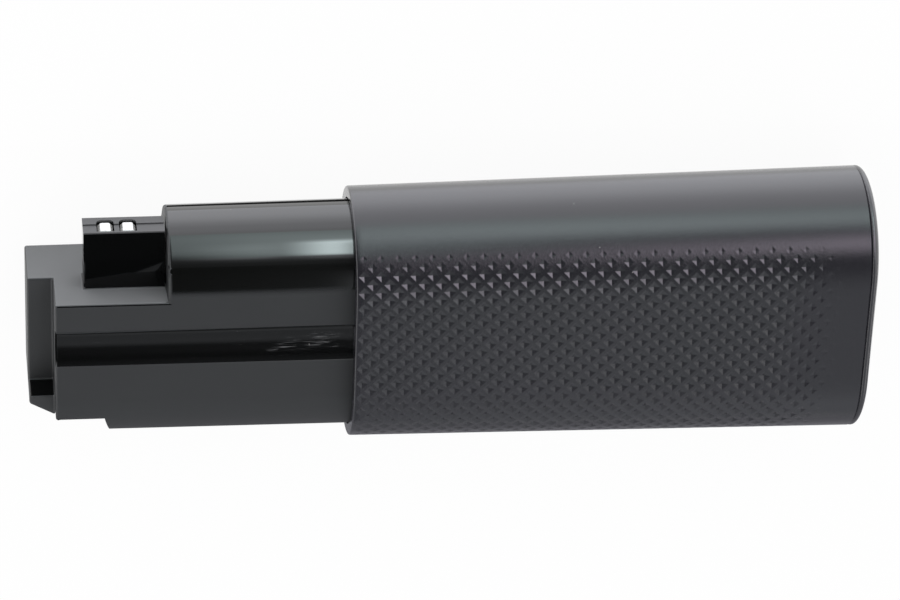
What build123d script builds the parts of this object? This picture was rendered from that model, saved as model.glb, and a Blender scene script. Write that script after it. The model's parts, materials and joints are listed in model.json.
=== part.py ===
from build123d import *
import os

# Handle battery for a cordless garden shear.
#
# A drafted inner tube of stadium section (two half rounds joined by flats) carries four
# cylindrical cells, two side by side and two in line.  Its bare front end is the spigot that
# slides into the tool, with a stepped and keyed tip, a guide groove and a terminal post.  A grip
# sleeve is slipped over the rest of the tube, and an end cap closes both.
#
# Working frame while the pieces are made: X runs from the tip to the end cap, +Y is the terminal
# side, +Z is the broad face with the guide groove, and Y = Z = 0 is the pack's long axis.
# PLACE then puts the origin under the middle of the pack, which lies on its other broad face.
# All lengths are in millimetres.

# ---- clearances -------------------------------------------------------------------------------
FIT = 0.3                # between pieces that slip together
SEAT = 0.1               # between small pieces and the recess they sit in
SKIN = 0.05              # between a cell and its wrap

# ---- cells ------------------------------------------------------------------------------------
CELL_LENGTH = 65.0
CELL_DIAMETER = 18.3
CELL_SPACE = 1.6         # between two cells side by side
WRAP_WALL = 0.12
BUTTON_DIAMETER = 7.0
BUTTON_HEIGHT = 1.3

# ---- nickel and holders -----------------------------------------------------------------------
STRIP = 0.25             # nickel strip thickness
STRIP_WIDTH = 6.0
LINK_DIAMETER = 10.0
TAB_LAP = 2.5            # how far a front tab laps onto the circuit board
TAB_WIDTH = 3.2
HOLDER_WEB = 1.4
HOLDER_POCKET = 6.0
WINDOW_DIAMETER = 13.0
SPACER_LENGTH = 12.0
WIRE_SLOT = 7.8          # width of the slot for the leads, between the cells
PAPER = 0.4
PAD_THICKNESS = 0.6
PAD_LENGTH = 48.0
PAD_WIDTH = 22.0

# ---- inner housing ----------------------------------------------------------------------------
WALL = 2.0
SIDE_SPACE = 1.81        # beside the cells, at the tip's section
BROAD_SPACE = 0.63       # between the cells and each broad wall, at the tip's section
WIDTH_GROWTH = 0.0138    # growth of the width for each millimetre along X
DEPTH_GROWTH = 0.0132    # growth of the depth for each millimetre along X
TIP_KEY_LENGTH = 5.0     # the thin tongue in front of the full section
TIP_KEY_SETBACK = 10.7   # of the tongue's face behind the broad face
LEDGE_DROP = 13.05       # how deep the flat ledge is cut into the rounded side
LEDGE_LENGTH = 26.75     # from the tip to the shoulder
RECESS_RISE = 10.55      # of the floor in front of the tongue, above the lower side
LIP_SETBACK = 4.35       # of the lip's face behind the broad face
LIP_DROP_TIP = 1.7       # height of the lip at the tip
LIP_DROP_ROOT = 4.5      # height of the lip where it meets the full section
UNDERCUT_RISE = 6.8      # of the flat under the spigot's front, above the lower side
UNDERCUT_LENGTH = 14.5
UNDERCUT_RAMP = 1.6      # run of the ramp back to the full section
GROOVE_WIDTH = 7.9
GROOVE_OFFSET = 0.4      # of its middle line, towards the terminals
GROOVE_DEPTH = 1.3
GROOVE_ROUND = 0.3
SHOULDER_BEVEL = 0.4
RAIL_HEIGHT = 1.2
RAIL_THICKNESS = 1.0

# ---- terminal post ----------------------------------------------------------------------------
POST_SPACE = 0.3         # between the post and the shoulder
POST_LENGTH = 15.65
POST_BACK = 0.0          # Z of its rear face
POST_DEPTH = 5.9
POST_HEIGHT = 6.2        # above the ledge, up to the joint with the carrier
POST_WALL = 1.1
CARRIER_HEIGHT = 6.25
CARRIER_PLUG = 1.6
WELL_START = 2.65        # from the post's front end to the first well
WELL_PITCH = 4.35
WELL_WIDTH = 3.35
WELL_BACK = 1.0          # from the carrier's rear face
WELL_LENGTH = 4.45
WELL_DEPTH = 3.0
WELL_ROUND = 1.1
CHANNEL_BACK = 2.55      # the shallow channel across the carrier's top
CHANNEL_WIDTH = 1.45
CHANNEL_DEPTH = 0.2
TERMINAL_SINK = 0.25     # top of a terminal below the carrier's top
TERMINAL_BEVEL = 0.5
LEG_WIDTH = 2.2
LEG_THICKNESS = 0.6
LEG_LAP = 3.0            # how far a leg laps onto the circuit board

# ---- circuit board ----------------------------------------------------------------------------
BOARD_THICKNESS = 1.2
BOARD_END_SPACE = 2.6    # from the board's end to the cell holder
CHIP = (5.0, 6.2, 1.1)
SWITCH = (5.1, 6.0, 1.3)
SHUNT = (3.2, 6.3, 0.7)
FUSE = (2.6, 4.6, 1.2)
PART_SPACE = 1.4         # between the parts across the board, and to its rails
LEAD_WIDTH = 1.2         # the leads are flat insulated strips
LEAD_THICKNESS = 0.5
LEAD_PITCH = 1.5
LEAD_DROP = 3.32         # of the leads between the cells, below the cells' crest
LEAD_LAP = 4.0           # how far a lead lies on the board
SENSOR_DIAMETER = 1.8
SENSOR_LENGTH = 4.0
SENSOR_REACH = 20.0      # how far along the first cells the sensor lies

# ---- grip sleeve and end cap ------------------------------------------------------------------
RIM_PLACE = 62.7         # X of the sleeve's front rim
GRIP_SIDE_WALL = 1.97    # of the sleeve's rounded sides, at the rim
GRIP_BROAD_WALL = 3.53   # of the sleeve's broad faces, at the rim
GRIP_FLARE = 3.1         # how much wider the sleeve is at the end cap than at the rim
RIM_BEVEL = 0.35
CAP_PLATE = 1.7
CAP_BEVEL = (0.9, 2.2)   # how far the outer edge is bevelled along X, and across
SEAM_BEVEL = 0.25
SKIRT_WALL = 1.2
SKIRT_LENGTH = 5.0
END_SPACE = 1.2          # between the rear paper and the end cap

# ---- worked out from the above ----------------------------------------------------------------
WRAPPED_DIAMETER = CELL_DIAMETER + 2 * (SKIN + WRAP_WALL)
CELL_Y = (WRAPPED_DIAMETER + CELL_SPACE) / 2
SPIGOT_WIDTH = 2 * (CELL_Y + SIDE_SPACE + WALL) + WRAPPED_DIAMETER
SPIGOT_DEPTH = 2 * (BROAD_SPACE + WALL) + WRAPPED_DIAMETER
CAVITY_START = LEDGE_LENGTH + WALL
HOLDER_START = CAVITY_START + FIT
CELLS_START = HOLDER_START + HOLDER_WEB
SECOND_CELLS = CELLS_START + CELL_LENGTH + STRIP
CELLS_END = SECOND_CELLS + CELL_LENGTH
HOLDER_END = CELLS_END + HOLDER_WEB
SEAM_PLACE = HOLDER_END + PAPER + END_SPACE
HOUSING_END = SEAM_PLACE - FIT
TOTAL_LENGTH = SEAM_PLACE + CAP_PLATE
GRIP_WIDTH_RIM = SPIGOT_WIDTH + WIDTH_GROWTH * RIM_PLACE + 2 * (FIT + GRIP_SIDE_WALL)
GRIP_WIDTH_END = GRIP_WIDTH_RIM + GRIP_FLARE
GRIP_DEPTH = SPIGOT_DEPTH + DEPTH_GROWTH * RIM_PLACE + 2 * (FIT + GRIP_BROAD_WALL)
SPACER_START = SECOND_CELLS - STRIP / 2 - SPACER_LENGTH / 2
TIP_END = UNDERCUT_LENGTH + UNDERCUT_RAMP
LEDGE_HEIGHT = SPIGOT_WIDTH / 2 - LEDGE_DROP
RECESS_FLOOR = RECESS_RISE - SPIGOT_WIDTH / 2
UNDERCUT_HEIGHT = UNDERCUT_RISE - SPIGOT_WIDTH / 2
TIP_KEY_FACE = SPIGOT_DEPTH / 2 - TIP_KEY_SETBACK
LIP_FACE = SPIGOT_DEPTH / 2 - LIP_SETBACK
CARRIER_BASE = LEDGE_HEIGHT + POST_HEIGHT
CARRIER_TOP = CARRIER_BASE + CARRIER_HEIGHT
POST_END = LEDGE_LENGTH - POST_SPACE
POST_START = POST_END - POST_LENGTH
POST_FRONT = POST_BACK + POST_DEPTH
CAVITY_FLOOR = UNDERCUT_HEIGHT + WALL
CAVITY_ROOF = LEDGE_HEIGHT - WALL
LEG_BACK = POST_BACK + POST_DEPTH / 2 - LEG_THICKNESS / 2
BOARD_FACE = LEG_BACK
BOARD_BACK = BOARD_FACE - BOARD_THICKNESS
BOARD_START = TIP_KEY_LENGTH + WALL + 2 * FIT
BOARD_END = HOLDER_START - BOARD_END_SPACE
BOARD_LOW = CAVITY_FLOOR + FIT
BOARD_HIGH = CAVITY_ROOF - FIT
LEAD_HEIGHT = WRAPPED_DIAMETER / 2 - LEAD_DROP
SENSOR_Y = 2 * LEAD_PITCH
PLACE = Pos(-TOTAL_LENGTH / 2, 0, GRIP_DEPTH / 2)


def block(x, y, z):
    """A box from three (low, high) pairs."""
    size = [high - low for low, high in (x, y, z)]
    middle = [(high + low) / 2 for low, high in (x, y, z)]
    return Pos(*middle) * Box(*size)


def rod(diameter, start, length, y=0.0, z=0.0):
    """A round bar along X."""
    disc = Plane.YZ.offset(start) * (Pos(y, z) * Circle(diameter / 2))
    return extrude(disc, amount=length)


def stadium(x, width, depth):
    """The section at X = x: two half rounds joined by flats."""
    return Plane.YZ.offset(x) * SlotOverall(width, depth)


def spigot_size(x):
    """The drafted housing's outer width and depth at X = x."""
    return SPIGOT_WIDTH + WIDTH_GROWTH * x, SPIGOT_DEPTH + DEPTH_GROWTH * x


def drafted(*places, spread=0.0):
    """A solid of the housing's drafted section, lofted from place to place along X."""
    sections = []
    for x in places:
        width, depth = spigot_size(x)
        sections.append(stadium(x, width + 2 * spread, depth + 2 * spread).face())
    return loft(sections, ruled=True)


def plain(start, length, spread):
    """A short solid of the housing's section at its narrow end, grown by spread on every side."""
    width, depth = spigot_size(start)
    return extrude(stadium(start, width + 2 * spread, depth + 2 * spread), amount=length)


# ---- inner housing ----------------------------------------------------------------------------

def under_tip():
    """What is cut away below the spigot's front, seen along Z."""
    low = -SPIGOT_WIDTH
    points = [
        (-1.0, low),
        (-1.0, RECESS_FLOOR - LIP_DROP_TIP),
        (0.0, RECESS_FLOOR - LIP_DROP_TIP),
        (TIP_KEY_LENGTH, RECESS_FLOOR - LIP_DROP_ROOT),
        (TIP_KEY_LENGTH, UNDERCUT_HEIGHT),
        (UNDERCUT_LENGTH, UNDERCUT_HEIGHT),
        (TIP_END, -SPIGOT_WIDTH / 2 - 0.2),
        (TIP_END, low),
    ]
    outline = make_face(Polyline(*points, close=True))
    return extrude(outline, amount=SPIGOT_DEPTH, both=True)


def guide_groove():
    """A shallow round-bottomed channel along the broad face, from the full section to the sleeve."""
    start = TIP_KEY_LENGTH
    end = RIM_PLACE + 3.0
    radius = (GROOVE_WIDTH ** 2 / 4 + GROOVE_DEPTH ** 2) / (2 * GROOVE_DEPTH)
    face_at_start = spigot_size(start)[1] / 2
    face_at_end = spigot_size(end)[1] / 2
    axis_start = Vector(start, GROOVE_OFFSET, face_at_start - GROOVE_DEPTH + radius)
    axis_end = Vector(end, GROOVE_OFFSET, face_at_end - GROOVE_DEPTH + radius)
    along = (axis_end - axis_start).normalized()
    section = Plane(origin=axis_start - along * 2, z_dir=along) * Circle(radius)
    return extrude(section, amount=(axis_end - axis_start).length + 2)


def housing_shell():
    """The drafted outside with its ledge, stepped tip and undercut."""
    shell = drafted(0, TIP_END, HOUSING_END)
    above_ledge = block((-1, LEDGE_LENGTH), (LEDGE_HEIGHT, SPIGOT_WIDTH), (-SPIGOT_DEPTH, SPIGOT_DEPTH))
    recess = block((-1, TIP_KEY_LENGTH), (RECESS_FLOOR, SPIGOT_WIDTH), (TIP_KEY_FACE, SPIGOT_DEPTH))
    lip_front = block((-1, TIP_KEY_LENGTH), (-SPIGOT_WIDTH, SPIGOT_WIDTH), (LIP_FACE, SPIGOT_DEPTH))
    shell = shell - above_ledge - recess - lip_front - under_tip()
    return shell - guide_groove()


def rounded_shell():
    """Small rounds along the groove, and a bevel round the shoulder."""
    shell = housing_shell()
    face = spigot_size(TIP_KEY_LENGTH)[1] / 2
    groove_edges = [
        edge
        for edge in shell.edges().filter_by(GeomType.LINE)
        if edge.length > LEDGE_LENGTH
        and abs(abs(edge.center().Y - GROOVE_OFFSET) - GROOVE_WIDTH / 2) < GROOVE_ROUND
        and edge.center().Z > face
    ]
    shell = fillet(groove_edges, GROOVE_ROUND)
    shoulder = [
        edge
        for edge in shell.edges()
        if abs(edge.center().X - LEDGE_LENGTH) < 0.01 and edge.center().Y > LEDGE_HEIGHT + 0.01
    ]
    return chamfer(shoulder, SHOULDER_BEVEL)


def terminal_post():
    return block(
        (POST_START, POST_END),
        (LEDGE_HEIGHT - WALL / 2, CARRIER_BASE),
        (POST_BACK, POST_FRONT),
    )


def post_bore(spread=0.0):
    """The hollow of the terminal post, wider by spread on every side."""
    return block(
        (POST_START + POST_WALL - spread, POST_END - POST_WALL + spread),
        (CAVITY_ROOF - WALL, CARRIER_BASE + 1),
        (POST_BACK + POST_WALL - spread, POST_FRONT - POST_WALL + spread),
    )


def cell_cavity():
    return drafted(CAVITY_START, HOUSING_END + 1, spread=-WALL)


def tip_cavity():
    """The hollow for the circuit board, in the front of the spigot."""
    inside = plain(TIP_KEY_LENGTH + WALL, LEDGE_LENGTH + WALL - TIP_KEY_LENGTH, -WALL)
    band = block((0, CAVITY_START + WALL + 1), (CAVITY_FLOOR, CAVITY_ROOF), (-SPIGOT_DEPTH, SPIGOT_DEPTH))
    return inside & band


def board_rails():
    """Four ribs that hold the circuit board's two long edges."""
    rails = []
    beside = ((BOARD_FACE + SEAT, 1), (BOARD_BACK - SEAT, -1))
    for low, high in ((CAVITY_FLOOR - WALL / 2, CAVITY_FLOOR + RAIL_HEIGHT),
                      (CAVITY_ROOF - RAIL_HEIGHT, CAVITY_ROOF + WALL / 2)):
        for face, way in beside:
            z = sorted((face, face + way * RAIL_THICKNESS))
            rails.append(block((TIP_KEY_LENGTH + WALL / 2, POST_START), (low, high), z))
    return rails


def inner_housing():
    body = rounded_shell() + terminal_post()
    body = body - cell_cavity() - tip_cavity()
    for rail in board_rails():
        body = body + rail
    return body - post_bore()


# ---- terminals --------------------------------------------------------------------------------

def well_outline(spread=0.0):
    """A well seen along Y: straight in front, rounded behind; made about its own middle."""
    width = WELL_WIDTH - 2 * spread
    length = WELL_LENGTH - 2 * spread
    outline = Rectangle(width, length)
    corners = outline.vertices().sort_by(Axis.Y)[:2]
    return fillet(corners, WELL_ROUND - spread)


def well_place(number):
    """The middle of one well, at the carrier's top."""
    x = POST_START + WELL_START + WELL_WIDTH / 2 + number * WELL_PITCH
    z = POST_BACK + WELL_BACK + WELL_LENGTH / 2
    plane = Plane(origin=(x, CARRIER_TOP, z), x_dir=(-1, 0, 0), z_dir=(0, 1, 0))
    return plane


def leg_block(number, spread=0.0, reach=0.0):
    """The strip that runs from one terminal down to the circuit board."""
    middle = well_place(number).origin.X
    return block(
        (middle - LEG_WIDTH / 2 - spread, middle + LEG_WIDTH / 2 + spread),
        (BOARD_HIGH - LEG_LAP, CARRIER_TOP - WELL_DEPTH + reach),
        (LEG_BACK - spread, LEG_BACK + LEG_THICKNESS + spread),
    )


def contact_carrier():
    """The insert that closes the terminal post and holds the terminals."""
    body = block((POST_START, POST_END), (CARRIER_BASE, CARRIER_TOP), (POST_BACK, POST_FRONT))
    plug = post_bore(-SEAT) & block(
        (POST_START, POST_END), (CARRIER_BASE - CARRIER_PLUG, CARRIER_BASE + WALL), (POST_BACK, POST_FRONT)
    )
    channel = block(
        (POST_START - 1, POST_END + 1),
        (CARRIER_TOP - CHANNEL_DEPTH, CARRIER_TOP + 1),
        (POST_BACK + CHANNEL_BACK, POST_BACK + CHANNEL_BACK + CHANNEL_WIDTH),
    )
    body = body + plug - channel
    for number in range(2):
        well = extrude(well_place(number) * well_outline(), amount=-WELL_DEPTH)
        slot = leg_block(number, spread=SEAT, reach=1.0)
        body = body - well - slot
    return body


def terminal(number):
    """A contact with a bevelled top in its well, with a flat leg."""
    depth = WELL_DEPTH - TERMINAL_SINK
    pad_plane = well_place(number).offset(-TERMINAL_SINK)
    pad = extrude(pad_plane * well_outline(2 * SEAT), amount=-depth)
    top = pad.faces().sort_by(Axis.Y)[-1]
    pad = chamfer(top.edges(), TERMINAL_BEVEL)
    return pad + leg_block(number, reach=0.5)


# ---- cells ------------------------------------------------------------------------------------

def cell_turned(solid, start, y, forward):
    """Put a cell piece, made from X = 0 with its top at the far end, where it belongs."""
    if forward:
        return Pos(start, y, 0) * solid
    return Pos(start + CELL_LENGTH, y, 0) * Rot(0, 0, 180) * solid


def cell_shoulder():
    """Height of the can's top rim, from the cell's bottom."""
    return CELL_LENGTH - BUTTON_HEIGHT


def cell_body():
    """The drawn can with its wound electrodes, as one solid."""
    bottom = SKIN + WRAP_WALL
    return rod(CELL_DIAMETER, bottom, cell_shoulder() - bottom)


def cell_cap():
    """The raised button of the positive cap."""
    return rod(BUTTON_DIAMETER, cell_shoulder(), BUTTON_HEIGHT)


def cell_wrap():
    """The shrink sleeve."""
    outer = rod(WRAPPED_DIAMETER, 0, cell_shoulder())
    inner = rod(CELL_DIAMETER + 2 * SKIN, -1, CELL_LENGTH + 2)
    return outer - inner


# ---- holders, strips and pads -----------------------------------------------------------------

def holder_plate(start, length):
    """A plate that fills the cavity's section."""
    return plain(start, length, -WALL - FIT)


def cell_pockets(start, length, diameter):
    return rod(diameter, start, length, CELL_Y) + rod(diameter, start, length, -CELL_Y)


def wire_slot(start, length):
    """The slot for the leads, open towards the grooved face."""
    low = LEAD_HEIGHT - LEAD_THICKNESS - FIT
    return block((start, start + length), (-WIRE_SLOT / 2, WIRE_SLOT / 2), (low, SPIGOT_DEPTH))


def front_holder():
    plate = holder_plate(HOLDER_START, HOLDER_WEB + HOLDER_POCKET)
    plate = plate - cell_pockets(CELLS_START, HOLDER_POCKET + 1, WRAPPED_DIAMETER + 2 * SEAT)
    plate = plate - cell_pockets(HOLDER_START - 1, HOLDER_WEB + 2, WINDOW_DIAMETER)
    return plate - wire_slot(HOLDER_START - 1, HOLDER_WEB + HOLDER_POCKET + 2)


def rear_holder():
    start = CELLS_END - HOLDER_POCKET
    plate = holder_plate(start, HOLDER_WEB + HOLDER_POCKET)
    plate = plate - cell_pockets(start - 1, HOLDER_POCKET + 1, WRAPPED_DIAMETER + 2 * SEAT)
    window = stadium(CELLS_END, 2 * CELL_Y + WINDOW_DIAMETER, WINDOW_DIAMETER)
    plate = plate - extrude(window, amount=HOLDER_WEB + 1)
    return plate - wire_slot(start - 1, HOLDER_POCKET + 1)


def middle_spacer():
    """The ring round the cells' meeting ends, slotted for the leads and for the links' ears."""
    plate = holder_plate(SPACER_START, SPACER_LENGTH)
    plate = plate - cell_pockets(SPACER_START - 1, SPACER_LENGTH + 2, WRAPPED_DIAMETER + 2 * SEAT)
    plate = plate - wire_slot(SPACER_START - 1, SPACER_LENGTH + 2)
    ears = block(
        (SECOND_CELLS - STRIP - SEAT, SECOND_CELLS + SEAT),
        (-CELL_Y, CELL_Y),
        (ear_low() - FIT, SPIGOT_DEPTH / 2 - WALL - 2 * FIT),
    )
    return plate - ears


def ear_low():
    return LEAD_HEIGHT - STRIP_WIDTH * 2 / 3


def middle_link(side):
    """A nickel disc pressed between the cells in line, with an ear for its lead."""
    disc = rod(LINK_DIAMETER, SECOND_CELLS - STRIP, STRIP, side * CELL_Y)
    inner = LEAD_PITCH - LEAD_WIDTH / 2
    ear = block(
        (SECOND_CELLS - STRIP, SECOND_CELLS),
        sorted((side * inner, side * (CELL_Y - LINK_DIAMETER / 4))),
        (ear_low(), LEAD_HEIGHT),
    )
    return disc + ear


def rear_link():
    """The nickel strip that joins the two rear cells, with an ear for its lead."""
    ends = [rod(LINK_DIAMETER, CELLS_END, STRIP, y) for y in (CELL_Y, -CELL_Y)]
    bridge = extrude(stadium(CELLS_END, 2 * CELL_Y, STRIP_WIDTH), amount=STRIP)
    ear = block(
        (CELLS_END, CELLS_END + STRIP),
        (-LEAD_WIDTH, LEAD_WIDTH),
        (0, WINDOW_DIAMETER / 2 - SEAT),
    )
    return ends[0] + ends[1] + bridge + ear


def front_tab(y, tongue_y):
    """A nickel tab: a disc on the cell, and a tongue bent forward onto the board."""
    face = CELLS_START - STRIP
    disc = rod(LINK_DIAMETER, face, STRIP, y)
    width = (tongue_y - TAB_WIDTH / 2, tongue_y + TAB_WIDTH / 2)
    root = block((face, CELLS_START), width, (0, BOARD_FACE + STRIP))
    tongue = block((BOARD_END - TAB_LAP, CELLS_START), width, (BOARD_FACE, BOARD_FACE + STRIP))
    return disc + root + tongue


def rear_paper():
    """The insulating sheet between the rear strip and the end cap."""
    return plain(HOLDER_END, PAPER, -WALL - FIT)


def foam_pad(start, side):
    """A strip of foam between two cells and one broad wall."""
    touch = WRAPPED_DIAMETER / 2 + SEAT
    z = sorted((side * touch, side * (touch + PAD_THICKNESS)))
    return block((start, start + PAD_LENGTH), (-PAD_WIDTH / 2, PAD_WIDTH / 2), z)


# ---- circuit board and leads ------------------------------------------------------------------

def circuit_board():
    return block((BOARD_START, BOARD_END), (BOARD_LOW, BOARD_HIGH), (BOARD_BACK, BOARD_FACE))


def on_board(size, x, y):
    """A moulded part soldered to the board, with its first corner at X = x and Y = y."""
    length, width, height = size
    part = block((x, x + length), (y, y + width), (BOARD_FACE, BOARD_FACE + height))
    return chamfer(part.faces().sort_by(Axis.Z)[-1].edges(), SEAT)


def board_parts():
    """The power switches side by side, and the controller, shunt and fuse behind them."""
    spare = BOARD_END - TAB_LAP - BOARD_START - SWITCH[0] - CHIP[0] - FUSE[0]
    space = spare / 4
    first_x = BOARD_START + space
    second_x = first_x + SWITCH[0] + space
    third_x = second_x + CHIP[0] + space
    low = CAVITY_FLOOR + RAIL_HEIGHT + PART_SPACE
    next_y = low + SWITCH[1] + PART_SPACE
    return {
        "power_switch_1": on_board(SWITCH, first_x, low),
        "power_switch_2": on_board(SWITCH, first_x, next_y),
        "shunt": on_board(SHUNT, second_x, low),
        "controller_chip": on_board(CHIP, second_x, next_y),
        "fuse": on_board(FUSE, third_x, -LEAD_PITCH * 2 - FUSE[1]),
    }


def lead(y, height, end):
    """A flat strip that lies on the board, rises between the cells and runs along them to X = end."""
    face = BOARD_FACE
    low = height - LEAD_THICKNESS
    rise = low - face
    start = BOARD_END - LEAD_LAP
    bend = BOARD_END - LEAD_WIDTH
    upper = [
        (start, face + LEAD_THICKNESS),
        (bend - LEAD_THICKNESS / 3, face + LEAD_THICKNESS),
        (bend + rise - LEAD_THICKNESS / 3, height),
        (end, height),
    ]
    lower = [(end, low), (bend + rise, low), (bend, face), (start, face)]
    side = Plane(origin=(0, y - LEAD_WIDTH / 2, 0), x_dir=(1, 0, 0), z_dir=(0, -1, 0))
    return extrude(side * make_face(Polyline(*upper, *lower, close=True)), amount=-LEAD_WIDTH)


def sensor_height():
    """Z of the temperature sensor, which lies on the first cell."""
    reach = (WRAPPED_DIAMETER + SENSOR_DIAMETER) / 2 + SKIN
    return (reach ** 2 - (CELL_Y - SENSOR_Y) ** 2) ** 0.5


def temperature_sensor():
    return rod(SENSOR_DIAMETER, CELLS_START + SENSOR_REACH, SENSOR_LENGTH, SENSOR_Y, sensor_height())


# ---- grip sleeve and end cap ------------------------------------------------------------------

def grip_sleeve():
    """The outer sleeve: it widens towards the end cap, and its broad faces stay parallel."""
    rim = stadium(RIM_PLACE, GRIP_WIDTH_RIM, GRIP_DEPTH)
    seam = stadium(SEAM_PLACE, GRIP_WIDTH_END, GRIP_DEPTH)
    body = loft([rim.face(), seam.face()], ruled=True)
    body = chamfer(body.faces().sort_by(Axis.X)[0].edges(), RIM_BEVEL)
    body = chamfer(body.faces().sort_by(Axis.X)[-1].edges(), SEAM_BEVEL)
    bore = drafted(RIM_PLACE - 1, SEAM_PLACE + 1, spread=FIT)
    rebate = plain(SEAM_PLACE - SKIRT_LENGTH - FIT, SKIRT_LENGTH + 1, SKIRT_WALL + 2 * FIT)
    return body - bore - rebate


def end_cap():
    """The end plate, with a skirt that goes between the housing and the sleeve."""
    plate = extrude(stadium(SEAM_PLACE, GRIP_WIDTH_END, GRIP_DEPTH), amount=CAP_PLATE)
    plate = chamfer(plate.faces().sort_by(Axis.X)[-1].edges(), *CAP_BEVEL)
    plate = chamfer(plate.faces().sort_by(Axis.X)[0].edges(), SEAM_BEVEL)
    skirt = plain(SEAM_PLACE - SKIRT_LENGTH, SKIRT_LENGTH + CAP_PLATE / 2, SKIRT_WALL + FIT)
    hollow = drafted(SEAM_PLACE - SKIRT_LENGTH - 1, SEAM_PLACE, spread=FIT)
    return plate + (skirt - hollow)


# ---- all pieces -------------------------------------------------------------------------------

def cell_pieces():
    """The pieces of all four cells: two with their buttons forward, two with them back."""
    makers = {"body": cell_body, "cap": cell_cap, "wrap": cell_wrap}
    places = [
        (CELLS_START, CELL_Y, False),
        (SECOND_CELLS, CELL_Y, False),
        (CELLS_START, -CELL_Y, True),
        (SECOND_CELLS, -CELL_Y, True),
    ]
    pieces = {}
    for kind, make in makers.items():
        solid = make()
        for number, (start, y, forward) in enumerate(places, 1):
            pieces[f"cell_{number}_{kind}"] = cell_turned(solid, start, y, forward)
    return pieces


def inside_pieces():
    """What holds and joins the cells."""
    pad_starts = (
        CELLS_START + HOLDER_POCKET + (SPACER_START - CELLS_START - HOLDER_POCKET - PAD_LENGTH) / 2,
        SPACER_START + SPACER_LENGTH
        + (CELLS_END - HOLDER_POCKET - SPACER_START - SPACER_LENGTH - PAD_LENGTH) / 2,
    )
    return {
        "front_holder": front_holder(),
        "middle_spacer": middle_spacer(),
        "rear_holder": rear_holder(),
        "front_tab_plus": front_tab(CELL_Y, BOARD_HIGH - TAB_WIDTH / 2),
        "front_tab_minus": front_tab(-CELL_Y, -CELL_Y),
        "middle_link_1": middle_link(1),
        "middle_link_2": middle_link(-1),
        "rear_link": rear_link(),
        "rear_paper": rear_paper(),
        "foam_pad_1": foam_pad(pad_starts[0], 1),
        "foam_pad_2": foam_pad(pad_starts[1], 1),
        "foam_pad_3": foam_pad(pad_starts[0], -1),
        "foam_pad_4": foam_pad(pad_starts[1], -1),
    }


def wiring():
    return {
        "circuit_board": circuit_board(),
        **board_parts(),
        "lead_middle_1": lead(LEAD_PITCH, LEAD_HEIGHT, SECOND_CELLS - STRIP),
        "lead_middle_2": lead(-LEAD_PITCH, LEAD_HEIGHT, SECOND_CELLS - STRIP),
        "lead_rear": lead(0, LEAD_HEIGHT, CELLS_END),
        "lead_sensor": lead(SENSOR_Y, sensor_height() + LEAD_THICKNESS / 2, CELLS_START + SENSOR_REACH),
        "temperature_sensor": temperature_sensor(),
    }


def outside_pieces():
    return {
        "inner_housing": inner_housing(),
        "contact_carrier": contact_carrier(),
        "terminal_plus": terminal(0),
        "terminal_minus": terminal(1),
        "grip_sleeve": grip_sleeve(),
        "end_cap": end_cap(),
    }


def main():
    os.makedirs("parts", exist_ok=True)
    pieces = {**outside_pieces(), **inside_pieces(), **wiring(), **cell_pieces()}
    for name, piece in pieces.items():
        solids = (PLACE * piece).solids()
        assert len(solids) == 1, name
        export_step(solids[0], f"parts/{name}.step")
    print(len(pieces), "pieces")


if __name__ == "__main__":
    main()
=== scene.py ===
# %% [markdown]
# # A handle battery pack for a cordless garden shear
#
# The pack is a gloss-black inner housing that slides into the tool, a satin grip sleeve with a
# field of small pyramid dimples, and an end cap.  Two bright contacts stand in a block near the
# tip.  The solids come packed and measured, so this lesson only dresses them: it softens edges,
# presses the dimples into the grip, mixes the finishes, and sets up a small studio table.

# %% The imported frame
import json
import math

import bmesh
import bpy
from mathutils import Matrix, Vector
from mathutils.bvhtree import BVHTree


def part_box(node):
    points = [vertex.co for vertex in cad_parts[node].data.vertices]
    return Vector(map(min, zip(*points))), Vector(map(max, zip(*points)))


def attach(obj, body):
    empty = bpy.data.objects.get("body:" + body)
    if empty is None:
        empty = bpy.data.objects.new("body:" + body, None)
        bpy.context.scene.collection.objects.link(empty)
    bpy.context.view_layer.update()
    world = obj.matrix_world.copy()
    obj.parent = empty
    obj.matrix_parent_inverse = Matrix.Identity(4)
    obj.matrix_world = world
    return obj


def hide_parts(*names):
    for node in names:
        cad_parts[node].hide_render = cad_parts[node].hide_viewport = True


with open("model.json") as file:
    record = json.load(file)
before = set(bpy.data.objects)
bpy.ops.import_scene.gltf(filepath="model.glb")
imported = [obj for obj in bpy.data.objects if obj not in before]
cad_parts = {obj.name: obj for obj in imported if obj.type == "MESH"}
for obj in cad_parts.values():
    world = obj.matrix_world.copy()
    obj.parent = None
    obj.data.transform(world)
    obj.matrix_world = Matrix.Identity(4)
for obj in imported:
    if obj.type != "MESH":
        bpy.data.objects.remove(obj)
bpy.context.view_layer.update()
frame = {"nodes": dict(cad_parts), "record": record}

MM = 0.001

# %% [markdown]
# ## Where things are
#
# X runs along the pack from the tip to the cap.  The contacts face +Y, and the broad face with the
# guide groove faces +Z.  The places along the pack are read from the pieces' own boxes, so sleeve,
# cap and softened housing follow the solids when their sizes change.  The camera, the cards, and
# the bounds of groove, ledge, print side and dimpled field are plain numbers that suit this size.

# %% Places along the pack
housing_low, housing_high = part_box("inner_housing")
grip_low, grip_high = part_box("grip_sleeve")
carrier_low, carrier_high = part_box("contact_carrier")
tip_x = housing_low.x
rim_x = grip_low.x
seam_x = grip_high.x
end_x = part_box("end_cap")[1].x
axis_z = (grip_low.z + grip_high.z) / 2
places = {"tip": tip_x, "rim": rim_x, "seam": seam_x, "end": end_x}
print("places in mm:", {name: round(x / MM, 1) for name, x in places.items()})

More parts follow.
